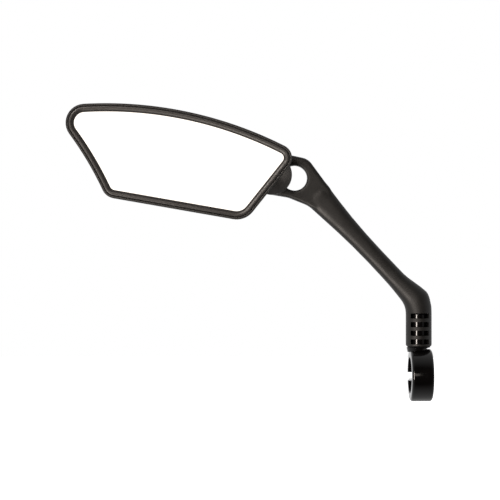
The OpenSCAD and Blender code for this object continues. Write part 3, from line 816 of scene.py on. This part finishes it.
glass_inset = 3.4
carrier_front = ledge - 1
pad_front = carrier_front - 0.7
band_w = 5.0
carrier = head_form([(glass_inset + 0.1, ledge), (glass_inset + 0.1, carrier_front)])
# Pressed ABS sheet: a dull charcoal with a fine even grain, a shade lighter than the shell.
carrier_abs = moulded("pressed_abs_sheet", "#27272a", "#2f2f32", 0.45, 0.5, 0.01)
glass_carrier = finished(carrier, "carrier_plate", carrier_abs, edge_break=0.15)
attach(glass_carrier, "head")
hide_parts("glass_carrier")

# Closed-cell foam: dull dark grey, pitted all over with cells of about 0.4 mm. Each cell is painted darker
# towards its middle, where the bump sinks it into a pit: painted shade in the pits.
foam, foam_tree, foam_shader, foam_place = new_material("closed_cell_foam")
cells = add_node(foam_tree, "ShaderNodeTexVoronoi", inputs={"Vector": foam_place, "Scale": 1 / (0.4 * MM)})
# Painted shade: the pits are coloured darker than the rims between them.
painted_pit_shade = add_node(foam_tree, "ShaderNodeValToRGB", inputs={"Fac": cells.outputs["Distance"]})
painted_pit_shade.color_ramp.elements[0].color = srgb("#38383c")
painted_pit_shade.color_ramp.elements[1].color = srgb("#4c4c50")
pits = add_node(foam_tree, "ShaderNodeBump",
                inputs={"Height": cells.outputs["Distance"], "Distance": 0.1 * MM})
foam_tree.links.new(painted_pit_shade.outputs["Color"], foam_shader.inputs["Base Color"])
foam_tree.links.new(pits.outputs["Normal"], foam_shader.inputs["Normal"])
foam_shader.inputs["Roughness"].default_value = 0.95
pad = head_form([(band_w + 1, carrier_front), (band_w + 1, pad_front)])
adhesive_pad = finished(pad, "foam_tape", foam, edge_break=0.1)
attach(adhesive_pad, "head")
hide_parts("adhesive_pad")

# ---- Mirror glass ----
# A flat 2 mm mirror, silvered behind and ground round its edge.

glass_front = pad_front - 2
glass_chamfer = 0.3
glass = head_form([(glass_inset, pad_front), (glass_inset, glass_front + glass_chamfer),
                   (glass_inset + glass_chamfer, glass_front)])

# Silvered float glass: reflects nearly everything with a slightly cool tint, under a clear glossy
# face whose slow waves of about 40 mm bend reflections a little.
silvered, silver_tree, silver_shader, silver_place = new_material("silvered_float_glass")
waves = add_node(silver_tree, "ShaderNodeTexNoise",
                 inputs={"Vector": silver_place, "Scale": 1 / (40 * MM), "Detail": 0})
sway = add_node(silver_tree, "ShaderNodeBump",
                inputs={"Height": waves.outputs["Fac"], "Distance": 0.01 * MM})
silvering = add_node(silver_tree, "ShaderNodeValToRGB", inputs={"Fac": waves.outputs["Fac"]})
silvering.color_ramp.elements[0].color = srgb("#f0f3f4")
silvering.color_ramp.elements[1].color = srgb("#f5f7f7")
silver_tree.links.new(sway.outputs["Normal"], silver_shader.inputs["Normal"])
silver_tree.links.new(silvering.outputs["Color"], silver_shader.inputs["Base Color"])
silver_shader.inputs["Metallic"].default_value = 1.0
silver_shader.inputs["Roughness"].default_value = 0.02
silver_shader.inputs["Coat Weight"].default_value = 1.0
silver_shader.inputs["Coat Roughness"].default_value = 0.01
mirror_glass = finished(glass, "silvered_glass", silvered)
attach(mirror_glass, "head")
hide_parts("mirror_glass")

# ---- Bezel ----
# A snap-in frame in satin black ABS: a rounded bead over the edge of the glass, and a skirt that
# clips down between the glass and the shell's rim. A narrow groove is left between bead and rim.

bezel_out = 1.6
bezel_skirt = 3.2
bezel_front = -24.6
crest = 2.5
crest_drop = 0.7
bead = (arc_section(crest, bezel_front + crest_drop, crest - bezel_out, crest_drop, 180, 270, 6)
        + arc_section(crest, glass_front, band_w - crest, glass_front - bezel_front, 270, 360, 14)[1:])
frame_ring = head_form(bead + [(bezel_skirt, glass_front), (bezel_skirt, ledge - 0.1),
                               (bezel_out, ledge - 0.1)], closed=True)
# Satin ABS: a warm near-black with a smoother skin than the shell's, so that light runs along the bead.
satin_abs = moulded("satin_abs", "#272423", "#2d2a28", 0.38, 0.4, 0.004)
satin_abs.node_tree.nodes["Principled BSDF"].inputs["IOR"].default_value = 1.65
bezel = finished(frame_ring, "bead_frame", satin_abs)
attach(bezel, "head")
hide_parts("bezel")

# ---- Studio ----
# A pale floor and a surround that is white behind the mirror and dark on the camera's side. Soft lights
# stand at the front left, low and high, and at the right, and one faces the glass, which shows it. The
# camera stands level, 0.9 m in front.

white = srgb("#ffffff")
floor_mesh = bmesh.new()
bmesh.ops.create_grid(floor_mesh, x_segments=1, y_segments=1, size=4,
                      matrix=Matrix.Translation((-0.1, 3.6, -0.55)))
floor_data = bpy.data.meshes.new("studio_floor")
floor_mesh.to_mesh(floor_data)
floor_mesh.free()
studio_floor = bpy.data.objects.new("studio_floor", floor_data)
bpy.context.collection.objects.link(studio_floor)
# Matt floor paint: an even near-white with no shine, lit up so that it runs into the surround.
floor_paint, _, floor_shader, _ = new_material("pale_floor_paint")
floor_shader.inputs["Base Color"].default_value = srgb("#f2f2f0")
floor_shader.inputs["Roughness"].default_value = 0.9
floor_shader.inputs["Emission Color"].default_value = white
floor_shader.inputs["Emission Strength"].default_value = 1.1
floor_data.materials.append(floor_paint)
studio_floor.visible_diffuse = False
studio_floor.visible_glossy = False

middle = Vector((-0.1, 0, 0.08))


def soft_light(name, azimuth, elevation, distance, width, height, power, lit=()):
    """A soft box: azimuth is to the left of the camera, elevation above level. It can be flagged off
    so that it reaches only some pieces."""
    lamp = bpy.data.lights.new(name, "AREA")
    lamp.shape = "RECTANGLE"
    lamp.size = width
    lamp.size_y = height
    lamp.energy = power
    lamp.color = srgb("#fff4ea")[:3]
    box = bpy.data.objects.new(name, lamp)
    a, e = math.radians(azimuth), math.radians(elevation)
    away = Vector((-math.sin(a) * math.cos(e), -math.cos(a) * math.cos(e), math.sin(e)))
    box.location = middle + away * distance
    box.rotation_euler = away.to_track_quat("Z", "Y").to_euler()
    box.visible_camera = False
    bpy.context.collection.objects.link(box)
    if lit:
        group = bpy.data.collections.new(name + "_pieces")
        for piece in lit:
            group.objects.link(piece)
        box.light_linking.receiver_collection = group


matt_pieces = (stem_arm, back_shell, bezel, socket_ring, ball_liner)
soft_light("strip_light", 35, -2, 2.4, 0.5, 1.2, 50, (clamp_ring,))
soft_light("low_softbox", 33, -26, 2.0, 0.9, 0.6, 26, matt_pieces)
soft_light("upper_softbox", 24, 24, 2.0, 0.8, 0.5, 17, matt_pieces)
soft_light("right_card", -45, 8, 2.0, 0.8, 0.8, 14, (back_shell,))
soft_light("mirror_card", 3.6, 4.5, 3.0, 0.9, 0.5, 2.4)

world = bpy.data.worlds.new("studio_surround")
world.use_nodes = True
bpy.context.scene.world = world
sky = world.node_tree
sky.nodes.clear()
direction = add_node(sky, "ShaderNodeTexCoord").outputs["Generated"]
tilted = add_node(sky, "ShaderNodeMapping", {"vector_type": "POINT"},
                  {"Vector": direction, "Location": (0.5, 0, 0), "Rotation": (0, 0, math.radians(-90)),
                   "Scale": (0.5, 0.5, 0.5)})
fade = add_node(sky, "ShaderNodeTexGradient", inputs={"Vector": tilted.outputs["Vector"]})
walls = add_node(sky, "ShaderNodeValToRGB", inputs={"Fac": fade.outputs["Fac"]})
walls.color_ramp.elements[0].position = 0.1
walls.color_ramp.elements[1].position = 0.88
walls.color_ramp.elements[0].color = srgb("#000000")
walls.color_ramp.elements[1].color = srgb("#d3d3d3")
for position, code in ((0.28, "#8c8c8c"), (0.5, "#b8b8b8"), (0.97, "#ffffff")):
    walls.color_ramp.elements.new(position).color = srgb(code)
around = add_node(sky, "ShaderNodeBackground", inputs={"Color": walls.outputs["Color"], "Strength": 1.0})
behind = add_node(sky, "ShaderNodeBackground", inputs={"Color": white, "Strength": 1.0})
seen = add_node(sky, "ShaderNodeLightPath").outputs["Is Camera Ray"]
mixed = add_node(sky, "ShaderNodeMixShader", inputs={"Fac": seen, 1: around.outputs["Background"],
                                                    2: behind.outputs["Background"]})
add_node(sky, "ShaderNodeOutputWorld", inputs={"Surface": mixed.outputs["Shader"]})

scene = bpy.context.scene
scene.view_settings.view_transform = "Standard"
lens = bpy.data.cameras.new("camera")
lens.sensor_width = 36
lens.lens = 105
lens.clip_start = 0.01
camera = bpy.data.objects.new("camera", lens)
camera.location = (-0.1053, -0.9, 0.0772)
camera.rotation_euler = (math.radians(90), 0, 0)
bpy.context.collection.objects.link(camera)
scene.camera = camera
